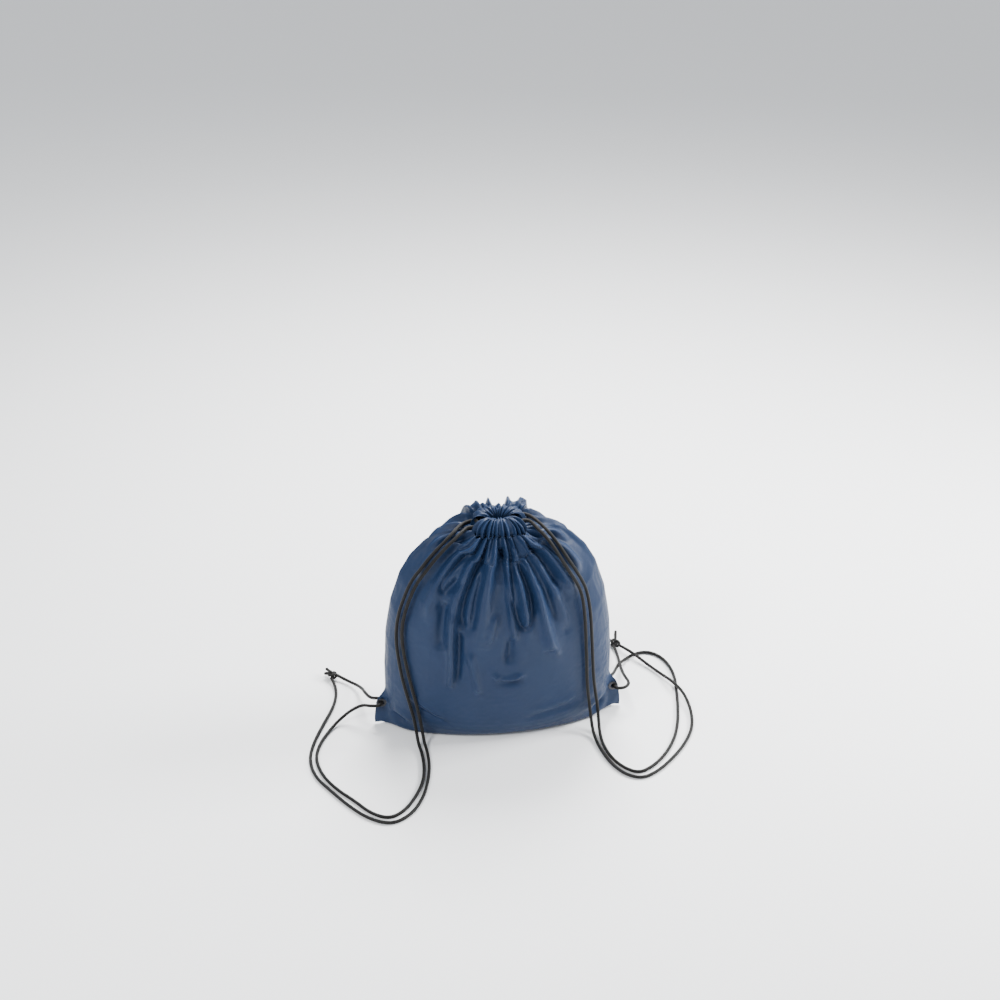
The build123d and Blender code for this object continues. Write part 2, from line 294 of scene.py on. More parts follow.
def evenly(line, gap):
    walked = np.concatenate([[0], np.cumsum(np.linalg.norm(np.diff(line, axis=0), axis=1))])
    count = max(4, int(round(walked[-1] / gap)))
    stops = np.linspace(0, walked[-1], count + 1)
    return np.stack([np.interp(stops, walked, line[:, k]) for k in range(3)], axis=1), stops


def unit(vectors):
    return vectors / np.maximum(np.linalg.norm(vectors, axis=-1, keepdims=True), 1e-12)


def plaitHeight(turn, along):
    # two sets of strands cross, and every second crossing has the other set on top
    around, ahead = turn * cordLook["plaits"], along * cordLook["plaits"] / cordLook["plaitPitch"]
    first, second = around + ahead, around - ahead
    firstOnTop = (np.floor(first) + np.floor(second)) % 2 < 0.5
    across = np.where(firstOnTop, first, second) % 1
    lengthways = np.where(firstOnTop, second, first) % 1
    return np.sin(np.pi * across) ** 0.7 * (0.55 + 0.45 * np.sin(np.pi * lengthways))


def braidTube(name, line, closed=False, radius=None, taperEnds=(False, False)):
    radius = radius or cordLook["diameter"] / 2
    sides = cordLook["sides"]
    centres, along = evenly(line, cordLook["ringGap"])
    if closed:
        centres, along = centres[:-1], along[:-1]
        heading = unit(np.roll(centres, -1, axis=0) - np.roll(centres, 1, axis=0))
    else:
        heading = unit(np.gradient(centres, axis=0))
    rings = len(centres)
    normal = unit(np.cross(heading[0], (0.31, 0.52, 0.79))[None])[0]
    normals = []
    for direction in heading:
        normal = normal - direction * normal.dot(direction)
        normal = normal / np.linalg.norm(normal)
        normals.append(normal)
    normals = np.array(normals)
    if closed:  # wind back the twist that is left over at the join
        last = normals[-1] - heading[0] * normals[-1].dot(heading[0])
        gapAngle = math.atan2(np.cross(last, normals[0]).dot(heading[0]), last.dot(normals[0]))
        share = np.linspace(0, 1, rings, endpoint=False)[:, None] * gapAngle
        normals = normals * np.cos(share) + np.cross(heading, normals) * np.sin(share)
    sideways = np.cross(heading, normals)
    turn = np.arange(sides) / sides
    height = plaitHeight(turn[None, :], along[:, None])
    reach = radius - cordLook["plaitRelief"] * (1 - height)
    for isTapered, stops in zip(taperEnds, (along, along[-1] - along)):
        if isTapered:  # a melted, rounded tip
            inTip = 1 - np.clip(stops / cordLook["meltedTip"], 0, 1)
            reach = reach * np.sqrt(np.clip(1 - inTip ** 2, 0.05, 1))[:, None]
    angle = 2 * math.pi * turn
    points = (centres[:, None]
              + normals[:, None] * (reach * np.cos(angle)[None])[..., None]
              + sideways[:, None] * (reach * np.sin(angle)[None])[..., None]).reshape(-1, 3)
    faces, uvs = [], []
    lastRing = rings if closed else rings - 1
    for j in range(lastRing):
        ahead = (j + 1) % rings
        farV = along[j] + cordLook["ringGap"] if ahead == 0 else along[ahead]
        for i in range(sides):
            beside = (i + 1) % sides
            faces.append((j * sides + i, j * sides + beside,
                          ahead * sides + beside, ahead * sides + i))
            uvs += [(i / sides, along[j]), ((i + 1) / sides, along[j]),
                    ((i + 1) / sides, farV), (i / sides, farV)]
    if not closed:
        faces.append(tuple(range(sides - 1, -1, -1)))
        faces.append(tuple(range((rings - 1) * sides, rings * sides)))
        uvs += [(0.5, 0)] * sides + [(0.5, along[-1])] * sides
    mesh = bpy.data.meshes.new(name)
    mesh.from_pydata(points.tolist(), [], faces)
    layer = mesh.uv_layers.new(name="CordUV")
    layer.data.foreach_set("uv", np.array(uvs).ravel())
    plait = mesh.attributes.new("plait", "FLOAT", "POINT")
    plait.data.foreach_set("value", height.astype(np.float32).ravel())
    return newPiece(mesh, blackBraid)


def tiedKnot(name, centre, facing):
    # both strands tied together in one overhand knot
    knot = {"wide": 0.0039, "deep": 0.0024, "cord": 0.0021, "flat": 0.86, "tall": 1.15}
    steps = np.linspace(0, 2 * math.pi, 240)
    swing = knot["wide"] + knot["deep"] * np.cos(3 * steps)
    loops = np.stack([swing * np.cos(2 * steps), swing * np.sin(2 * steps) * knot["flat"],
                      knot["deep"] * np.sin(3 * steps) * knot["tall"]], axis=1)
    turned = Vector(facing).to_track_quat("Z", "Y").to_matrix()
    line = loops @ np.array(turned).T + np.array(centre)
    return braidTube(name, line, closed=True, radius=knot["cord"])


knotPlaces = {
    "left": {
        "centre": (-0.221, 0.109, 0.0078),
        "facing": (0.45, 0.2, 0.87),
        "tails": [
            [(-0.223, 0.112, 0.0085), (-0.226, 0.118, 0.0095), (-0.2295, 0.1235, 0.0085)],
            [(-0.225, 0.11, 0.008), (-0.229, 0.1115, 0.0095), (-0.2325, 0.1125, 0.0075)],
        ],
    },
    "right": {
        "centre": (0.187, 0.136, 0.0078),
        "facing": (-0.3, -0.55, 0.78),
        "tails": [
            [(0.188, 0.14, 0.009), (0.1895, 0.148, 0.0125), (0.191, 0.1555, 0.0165)],
            [(0.184, 0.139, 0.008), (0.179, 0.1455, 0.0095), (0.1755, 0.1515, 0.0065)],
        ],
    },
}

cordLines = {}
for side in ("left", "right"):
    place = knotPlaces[side]
    knot = tiedKnot(f"{side}Knot", place["centre"], place["facing"])
    belongs(knot, f"{side}_cord_knot")
    tails = []
    for i, points in enumerate(place["tails"]):
        tailLine = routeLine(f"{side}Tail{i}", points)
        tails.append(braidTube(f"{side}Tail{i}", tailLine, taperEnds=(False, True)))
    for tail in tails:
        belongs(tail, f"{side}_cord_tails")
    for part in ("Front", "Back"):
        name = f"{side}{part}Cord"
        line = routeLine(name, cordRoutes[name])
        cordLines[name] = line
        strand = braidTube(name, line)
        belongs(strand, f"{side}_{part.lower()}_strand")
print("sack: cords laid")

# the part of each cord inside the hem, which turns back at the far side of the mouth
hemRunLine = [
    (-0.031, -0.0085), (-0.014, -0.0108), (0.0, -0.0114), (0.014, -0.0108), (0.025, -0.0085),
    (0.0285, -0.003), (0.0285, 0.003), (0.025, 0.0085), (0.014, 0.0108), (0.0, 0.0114),
    (-0.014, 0.0108), (-0.031, 0.0085),
]
for side, mirror in (("left", 1), ("right", -1)):
    height = cordRoutes[f"{side}FrontCord"][0][2]
    points = [(mirror * x, y, height) for x, y in hemRunLine]
    run = braidTube(f"{side}HemRun", routeLine(f"{side}HemRun", points))
    belongs(run, f"{side}_cord_channel_run")
print("sack: cords threaded through the hem")

# sack cloth: two panels cut flat, pleated at the neck, then settled as cloth

cloth = {
    "cutWidth": 0.358,
    "cutLength": 0.42,
    "neckRow": 0.371,  # distance up the cloth from the bottom seam to the hem's stitching
    "columns": 88,
    "rows": 93,
    "cornerPly": 0.0018,
    "thickness": 0.0005,
    "neckPleats": 13,
    "neckPleatDepth": 0.0034,
    "deepestFold": 0.0095,
    "baseDepth": 0.047,
    "neckLean": -0.009,  # the mouth sits in front of the middle
}

# down the middle of each panel: distance up the cloth, depth, height
frontFall = np.array([
    (0.0, 0.0, 0.0008), (0.03, 0.03, 0.001), (0.047, 0.047, 0.0015), (0.053, 0.051, 0.0055),
    (0.061, 0.055, 0.0125), (0.075, 0.0588, 0.026), (0.113, 0.0615, 0.061), (0.155, 0.0625, 0.101),
    (0.208, 0.062, 0.151), (0.261, 0.059, 0.2), (0.3033, 0.0545, 0.241), (0.329, 0.0485, 0.265),
    (0.348, 0.0385, 0.282), (0.3615, 0.029, 0.292), (0.371, 0.0198, 0.2985),
])
backFall = np.array([
    (0.0, 0.0, 0.0008), (0.03, 0.03, 0.001), (0.047, 0.047, 0.0015), (0.053, 0.051, 0.006),
    (0.061, 0.0555, 0.0135), (0.0735, 0.059, 0.026), (0.108, 0.0615, 0.061),
    (0.147, 0.0625, 0.101), (0.195, 0.062, 0.151), (0.244, 0.06, 0.201), (0.284, 0.056, 0.243),
    (0.306, 0.0505, 0.267), (0.326, 0.0445, 0.2885), (0.34, 0.0405, 0.303),
    (0.353, 0.0355, 0.3145), (0.362, 0.0295, 0.3175), (0.371, 0.0206, 0.3105),
])
# up the side seams: distance up the cloth, half width of the filled body,
# half width with the flat corner, height
sideFall = np.array([
    (0.0, 0.151, 0.1675, 0.0025), (0.006, 0.151, 0.168, 0.008), (0.018, 0.1505, 0.167, 0.02),
    (0.032, 0.1503, 0.1648, 0.034), (0.041, 0.1507, 0.1615, 0.043), (0.05, 0.1512, 0.1555, 0.051),
    (0.058, 0.1515, 0.1522, 0.058), (0.101, 0.152, 0.1522, 0.1), (0.151, 0.149, 0.149, 0.15),
    (0.202, 0.141, 0.141, 0.2), (0.244, 0.128, 0.128, 0.24), (0.273, 0.1135, 0.1135, 0.265),
    (0.301, 0.094, 0.094, 0.285), (0.317, 0.08, 0.08, 0.293), (0.338, 0.06, 0.06, 0.298),
    (0.358, 0.041, 0.041, 0.3), (0.371, 0.032, 0.032, 0.3005),
])

# folds that run down from the neck: place across the panel at the top and at the end, distance up
# the cloth where the fold ends, strength, half width across the panel
frontFolds = [
    (0.06, 0.05, 0.3, 0.8, 0.022), (0.13, 0.11, 0.262, 1.0, 0.024),
    (0.215, 0.185, 0.22, 0.9, 0.024), (0.31, 0.285, 0.19, 1.2, 0.024),
    (0.42, 0.41, 0.2, 1.2, 0.03), (0.515, 0.545, 0.2, 1.2, 0.016),
    (0.575, 0.605, 0.215, 1.0, 0.016), (0.64, 0.675, 0.17, 1.0, 0.02),
    (0.71, 0.745, 0.2, 1.1, 0.02), (0.79, 0.82, 0.24, 0.9, 0.022),
    (0.87, 0.89, 0.26, 0.9, 0.022), (0.94, 0.95, 0.3, 0.8, 0.022),
]
backFolds = [
    (0.08, 0.07, 0.29, 0.8, 0.03), (0.17, 0.15, 0.25, 1.0, 0.03),
    (0.26, 0.25, 0.22, 1.0, 0.03), (0.35, 0.34, 0.18, 1.1, 0.028),
    (0.44, 0.445, 0.2, 1.4, 0.026), (0.6, 0.59, 0.17, 1.5, 0.032),
    (0.73, 0.74, 0.22, 1.3, 0.03), (0.83, 0.85, 0.24, 1.0, 0.028),
    (0.92, 0.93, 0.28, 0.9, 0.026), (0.52, 0.5, 0.12, 0.5, 0.035),
    (0.3, 0.3, 0.13, 0.4, 0.04), (0.7, 0.68, 0.12, 0.4, 0.04),
]

panels = {
    "front": {"facing": -1, "fall": frontFall, "folds": frontFolds, "length": 0.357,
              "foldsMeetPleats": (0.322, 0.364)},
    "back": {"facing": 1, "fall": backFall, "folds": backFolds, "length": 0.379,
             "foldsMeetPleats": (0.342, 0.369)},
}


def ease(value, low, high):
    share = np.clip((value - low) / (high - low), 0, 1)
    return share * share * (3 - 2 * share)


filledShape = {
    "outlineSteps": 1441,
    "roundFrom": 0.31,  # above this the outline grows squarer towards the hem
    "roundness": (2.0, 2.7),
    "pinchHeights": (0.008, 0.026),
    "liftUps": (0.05, 0.1, 0.3),
    "liftPowers": (1.2, 1.0, 0.62),
    "edgeTurn": 0.004,
    "leanFrom": 0.33,
}


def walk(row):
    # distance walked along a row at each of its points
    return np.concatenate([[0], np.cumsum(np.linalg.norm(np.diff(row, axis=0), axis=1))])


def atStops(row, walked, stops):
    return np.stack([np.interp(stops, walked, row[:, k]) for k in range(3)], axis=1)


def smoothRow(up, panel, samples):
    # one row of the filled panel before it is folded, from left to right
    fall = panel["fall"]
    reach, middle = (np.interp(up, fall[:, 0], fall[:, k]) for k in (1, 2))
    body, edge, height = (np.interp(up, sideFall[:, 0], sideFall[:, k]) for k in (1, 2, 3))
    roundRows = (filledShape["roundFrom"], cloth["neckRow"])
    roundness = np.interp(up, roundRows, filledShape["roundness"])
    x = -edge * np.cos(np.linspace(0, math.pi, filledShape["outlineSteps"]))
    depth = max(reach, cloth["baseDepth"])
    filled = depth * np.clip(1 - (np.abs(x) / body) ** roundness, 0, None) ** (1 / roundness)
    # on the ground the base runs straight out to the corner's tip,
    # and above it the corner is pinched flat
    meets = body * body / edge
    meetDepth = depth * math.sqrt(max(1 - (meets / body) ** 2, 0))
    pointed = meetDepth * np.clip((edge - np.abs(x)) / max(edge - meets, 1e-6), 0, 1)
    pinch = ease(height, *filledShape["pinchHeights"])
    drawn = np.where(np.abs(x) > meets, np.maximum(filled, pointed), filled)
    y = np.minimum(filled * pinch + drawn * (1 - pinch), reach)
    power = np.interp(up, filledShape["liftUps"], filledShape["liftPowers"])
    lift = (1 - y / max(reach, 1e-6)) ** power
    z = middle + (height - middle) * lift
    fromEdge = np.clip((edge - np.abs(x)) / filledShape["edgeTurn"], 0, 1)
    y = np.maximum(y, cloth["cornerPly"] * fromEdge * ease(up, 0.0, 0.006))
    lean = np.interp(up, (filledShape["leanFrom"], cloth["neckRow"]), (0, cloth["neckLean"]))
    row = np.stack([x, panel["facing"] * y + lean, z], axis=1)
    walked = walk(row)
    return atStops(row, walked, np.linspace(0, walked[-1], samples))


# size, pace and start of the waves that make the gathers uneven
gatherPlace = [(0.016, 14.5, 0.7), (0.009, 33, 0), (0.004, 71, 0)]
gatherDepth = [(0.3, 23, 1.1), (0.22, 41, 2.3)]


def uneven(value, across, waves):
    for size, pace, start in waves:
        value = value + size * np.sin(pace * across + start)
    return value


def neckWave(across):
    # some gathers are wide, some narrow, some nearly lost
    place = uneven(across, across, gatherPlace)
    depth = uneven(1, across, gatherDepth)
    return depth * np.cos(2 * math.pi * cloth["neckPleats"] * place)


def foldWave(up, across, folds):
    wave = np.zeros_like(across)
    for top, low, end, strength, width in folds:
        along = np.clip((cloth["neckRow"] - up) / (cloth["neckRow"] - end), 0, 1)
        place = top + (low - top) * along
        strength = strength * ease(up, end - 0.004, end + 0.026)
        wave += strength * np.exp(-((across - place) / width) ** 2)
    return wave - wave.mean()


def rowLength(row):
    return np.linalg.norm(np.diff(row, axis=0), axis=1).sum()


foldShape = {
    "edgeFade": 0.035,  # no folds this near the side seams
    "depthUps": (0.3, 0.345),
    "shoulderDepth": 0.0082,
    "halvings": 24,
    "softUps": (0.085, 0.06),
    "softPasses": 4,
    "lowest": 0.0008,
}


def foldedPanel(panel):
    # the row keeps its cut width, so what the filled body doesn't need goes into the folds
    samples = 4 * cloth["columns"] + 1
    across = np.linspace(0, 1, samples)
    ups = np.linspace(0, cloth["neckRow"], cloth["rows"] + 1)
    smooth = np.array([smoothRow(up, panel, samples) for up in ups])
    outward = unit(np.cross(np.gradient(smooth, axis=1), np.gradient(smooth, axis=0)))
    outward = outward * -panel["facing"]
    edgeFade = ease(np.minimum(across, 1 - across), 0.0, foldShape["edgeFade"])
    rows = []
    for up, row, normal in zip(ups, smooth, outward):
        share = ease(up, *panel["foldsMeetPleats"])
        folds = foldWave(up, across, panel["folds"])
        wave = edgeFade * (share * neckWave(across) + (1 - share) * folds)
        limits = (cloth["deepestFold"], foldShape["shoulderDepth"], cloth["neckPleatDepth"])
        limit = np.interp(up, (*foldShape["depthUps"], cloth["neckRow"]), limits)
        low, high = 0.0, limit / max(np.abs(wave).max(), 0.2)
        if up < cloth["neckRow"] - 1e-6:
            for _ in range(foldShape["halvings"]):
                middle = (low + high) / 2
                if rowLength(row + normal * (middle * wave)[:, None]) < cloth["cutWidth"]:
                    low = middle
                else:
                    high = middle
        row = row + normal * (high * wave)[:, None]
        walked = walk(row)
        rows.append(atStops(row, walked, np.linspace(0, walked[-1], cloth["columns"] + 1)))
    rows = np.array(rows)
    low = ease(ups, *foldShape["softUps"])[:, None, None]
    for _ in range(foldShape["softPasses"]):  # the turn from base to wall is soft
        soft = rows.copy()
        soft[1:-1] = (rows[:-2] + 2 * rows[1:-1] + rows[2:]) / 4
        soft[:, 1:-1] = (soft[:, :-2] + 2 * soft[:, 1:-1] + soft[:, 2:]) / 4
        soft[:, [0, -1]], soft[0] = rows[:, [0, -1]], rows[0]
        rows = rows + (soft - rows) * low
    rows[..., 2] = np.maximum(rows[..., 2], foldShape["lowest"])
    return rows, smooth, outward


startShape, smoothShape, smoothNormals = {}, {}, {}
for name, panel in panels.items():
    startShape[name], smoothShape[name], smoothNormals[name] = foldedPanel(panel)

settling = {
    "frames": 36,
    "pressure": 1.2,
    "gravity": 0.06,
    "vertexMass": 0.02,
    "tension": 15,
    "shear": 5,
    "bending": 0.08,
    "eyelet": (0.1575, 0.035),
    "heldRound": 0.0095,  # the cloth under each eyelet stays flat
    "cornerDepth": 0.004,
    "heldBelow": 0.003,  # so does the base on the ground
}


def settleCloth():
    # both panels as one sewn tube, pinned at the neck and the bottom seam, blown out from inside
    columns, rows = cloth["columns"], cloth["rows"]
    places, cut, index = [], [], {}
    for name, facing in (("front", -1), ("back", 1)):
        for j in range(rows + 1):
            for i in range(columns + 1):
                isEdge = i in (0, columns) or j == 0
                if name == "back" and isEdge:
                    index[name, j, i] = index["front", j, i]
                    continue
                index[name, j, i] = len(places)
                places.append(startShape[name][j, i])
                length = cloth["neckRow"]
                length += (panels[name]["length"] - length) * math.sin(math.pi * i / columns) ** 2
                cut.append(((i / columns - 0.5) * cloth["cutWidth"], 0 if isEdge else facing * 0.001,
                            j / rows * length))
    faces = []
    for name in ("front", "back"):
        for j in range(rows):
            for i in range(columns):
                corners = ((j, i), (j, i + 1), (j + 1, i + 1), (j + 1, i))
                quad = [index[name, a, b] for a, b in corners]
                faces.append(quad if name == "front" else quad[::-1])
    places = np.array(places)
    mesh = bpy.data.meshes.new("sewnTube")
    mesh.from_pydata(places.tolist(), [], faces)
    tube = bpy.data.objects.new("sewnTube", mesh)
    scene.collection.objects.link(tube)
    pick(tube)
    tube.shape_key_add(name="filled")
    flat = tube.shape_key_add(name="cutFlat")
    flat.data.foreach_set("co", np.array(cut).ravel())
    flat.value = 0
    held = tube.vertex_groups.new(name="held")
    heldOnes = {index[name, rows, i] for name in panels for i in range(columns + 1)}
    heldOnes |= set(np.flatnonzero(places[:, 2] < settling["heldBelow"]).tolist())
    eyeletX, eyeletZ = settling["eyelet"]
    fromEyelet = np.hypot(np.abs(places[:, 0]) - eyeletX, places[:, 2] - eyeletZ)
    inCorner = np.abs(places[:, 1]) < settling["cornerDepth"]
    nearEyelet = np.flatnonzero((fromEyelet < settling["heldRound"]) & inCorner)
    heldOnes |= set(nearEyelet.tolist())
    held.add(sorted(heldOnes), 1.0, "REPLACE")
    bpy.ops.mesh.primitive_plane_add(size=2, location=(0, 0, -0.0005))
    ground = bpy.context.object
    ground.modifiers.new("ground", "COLLISION")
    ground.collision.thickness_outer = 0.001
    ground.collision.cloth_friction = 5
    pick(tube)
    settle = tube.modifiers.new("settle", "CLOTH")
    inside = settle.settings
    inside.quality = 6
    inside.mass = settling["vertexMass"]
    inside.tension_stiffness = inside.compression_stiffness = settling["tension"]
    inside.tension_damping = inside.compression_damping = 5
    inside.shear_stiffness, inside.shear_damping = settling["shear"], 5
    inside.bending_stiffness, inside.bending_damping = settling["bending"], 0.5
    inside.vertex_group_mass = "held"
    inside.rest_shape_key = flat
    inside.use_pressure = True
    inside.uniform_pressure_force = settling["pressure"]
    inside.effector_weights.gravity = settling["gravity"]
    settle.collision_settings.distance_min = 0.001
    settle.collision_settings.use_self_collision = False
    settle.point_cache.frame_start, settle.point_cache.frame_end = 1, settling["frames"]
    for frameNow in range(1, settling["frames"] + 1):
        scene.frame_set(frameNow)
    shaped = tube.evaluated_get(bpy.context.evaluated_depsgraph_get())
    places = np.array([v.co for v in shaped.data.vertices])
    bpy.data.objects.remove(tube)
    bpy.data.objects.remove(ground)
    scene.frame_set(1)
    return {name: np.array([[places[index[name, j, i]] for i in range(columns + 1)]
                            for j in range(rows + 1)]) for name in panels}


settled = settleCloth()
for name, grid in settled.items():
    print(f"sack: {name} panel settled, top at {grid[..., 2].max():.4f}")


def clothMaterial():
    navy, tree, shader = newMaterial("navyPolyester", {"Roughness": 0.4, "Specular IOR Level": 0.2,
                                                       "Sheen Weight": 0.05, "Sheen Roughness": 0.35,
                                                       "Sheen Tint": (0.55, 0.68, 1.0, 1)})
    link = tree.links.new
    uv = addNode(tree, "ShaderNodeUVMap", {"uv_map": "ClothUV"})
    turned = addNode(tree, "ShaderNodeMapping")
    turned.inputs["Rotation"].default_value = (0, 0, math.radians(38))
    ribs = addNode(tree, "ShaderNodeTexWave", {"wave_type": "BANDS", "bands_direction": "X"},
                   Scale=320.0, Distortion=0.6, Detail=1.0, Detail_Scale=2.0)
    yarns = addNode(tree, "ShaderNodeTexWave", {"wave_type": "BANDS", "bands_direction": "Y"},
                    Scale=560.0, Distortion=0.8, Detail=1.0, Detail_Scale=2.0)
    link(uv.outputs["UV"], turned.inputs["Vector"])
    link(turned.outputs["Vector"], ribs.inputs["Vector"])
    link(uv.outputs["UV"], yarns.inputs["Vector"])
    weave = addNode(tree, "ShaderNodeMath", {"operation": "ADD"})
    link(ribs.outputs["Fac"], weave.inputs[0])
    link(yarns.outputs["Fac"], weave.inputs[1])
    place = addNode(tree, "ShaderNodeTexCoord")
    cloud = addNode(tree, "ShaderNodeTexNoise", Scale=14.0, Detail=4.0, Roughness=0.6)
    crease = addNode(tree, "ShaderNodeTexNoise",
                     Scale=55.0, Detail=5.0, Roughness=0.55, Distortion=0.6)
    link(place.outputs["Object"], cloud.inputs["Vector"])
    link(place.outputs["Object"], crease.inputs["Vector"])
    tone = mixColour(tree, cloud.outputs["Fac"],
                     (0.0036, 0.0118, 0.037, 1), (0.0074, 0.0208, 0.059, 1))
    yarnTone = addNode(tree, "ShaderNodeMapRange",
                       From_Min=0.0, From_Max=2.0, To_Min=0.0, To_Max=0.35)
    link(weave.outputs[0], yarnTone.inputs["Value"])
    tone = mixColour(tree, yarnTone.outputs["Result"], tone, (0.018, 0.042, 0.1, 1))
    link(tone, shader.inputs["Base Color"])
    gloss = addNode(tree, "ShaderNodeMapRange", To_Min=0.36, To_Max=0.54)
    link(crease.outputs["Fac"], gloss.inputs["Value"])
    link(gloss.outputs["Result"], shader.inputs["Roughness"])
    fine = addNode(tree, "ShaderNodeBump", Strength=0.22, Distance=0.00012)
    link(weave.outputs[0], fine.inputs["Height"])
    soft = addNode(tree, "ShaderNodeBump", Strength=0.22, Distance=0.0012)
    link(crease.outputs["Fac"], soft.inputs["Height"])
    link(fine.outputs["Normal"], soft.inputs["Normal"])
    link(soft.outputs["Normal"], shader.inputs["Normal"])
    return navy


navyCloth = clothMaterial()


def clothGrid(name, grid, cutLow, cutHigh, flip=False):
    # a sheet from rows of points, with its place on the flat cut as its UV map
    rows, columns = grid.shape[0] - 1, grid.shape[1] - 1
    faces, uvs = [], []
    for j in range(rows):
        for i in range(columns):
            corners = [(j, i), (j, i + 1), (j + 1, i + 1), (j + 1, i)]
            if flip:
                corners = corners[::-1]
            faces.append([a * (columns + 1) + b for a, b in corners])
            uvs += [(cutLow[0] + (cutHigh[0] - cutLow[0]) * b / columns,
                     cutLow[1] + (cutHigh[1] - cutLow[1]) * a / rows) for a, b in corners]
    mesh = bpy.data.meshes.new(name)
    mesh.from_pydata(grid.reshape(-1, 3).tolist(), [], faces)
    layer = mesh.uv_layers.new(name="ClothUV")
    layer.data.foreach_set("uv", np.array(uvs).ravel())
    return newPiece(mesh, navyCloth)


def applyModifier(piece, kind, **settings):
    pick(piece)
    modifier = piece.modifiers.new(kind.lower(), kind)
    for key, value in settings.items():
        setattr(modifier, key, value)
    bpy.ops.object.modifier_apply(modifier=modifier.name)


cordPress = {
    "clearance": 0.0004,
    "spread": 0.016,
    "fadeFrom": 0.7,
    "steepness": 48,
    "stopGap": 0.003,
    "touching": 0.02,  # further off, the strand hangs free
    "lowest": 0.012,
    "sameWall": 0.03,
    "pointsAtOnce": 4000,
}


def pressedByCords(points):
    # the cloth under a strand is pushed in to a soft groove
    bodyPoints = np.concatenate([smoothShape[n][4:].reshape(-1, 3) for n in panels])
    bodyNormals = np.concatenate([smoothNormals[n][4:].reshape(-1, 3) for n in panels])
    reach = cordLook["diameter"] / 2 + cordPress["clearance"]
    fadeFrom = cordPress["fadeFrom"] * cordPress["spread"]
    for line in cordLines.values():
        stops = evenly(line, cordPress["stopGap"])[0]
        nearest = [np.argmin(((bodyPoints - stop) ** 2).sum(1)) for stop in stops]
        away = np.linalg.norm(bodyPoints[nearest] - stops, axis=1)
        touching = (away < cordPress["touching"]) & (stops[:, 2] > cordPress["lowest"])
        stops, normals = stops[touching], bodyNormals[nearest][touching]
        for _ in range(2):
            for low in range(0, len(points), cordPress["pointsAtOnce"]):
                some = points[low:low + cordPress["pointsAtOnce"]]
                gap = ((some[:, None] - stops[None]) ** 2).sum(2)
                closest = gap.argmin(1)
                normal = normals[closest]
                offset = some - stops[closest]
                height = (offset * normal).sum(1)
                side = np.linalg.norm(offset - normal * height[:, None], axis=1)
                allowed = -reach + cordPress["steepness"] * side ** 2
                isUnder = (side < cordPress["spread"]) & (np.abs(height) < cordPress["sameWall"])
                push = np.where(isUnder, np.maximum(height - allowed, 0), 0)
                push *= 1 - ease(side, fadeFrom, cordPress["spread"])
                points[low:low + len(some)] = some - normal * push[:, None]
    return points
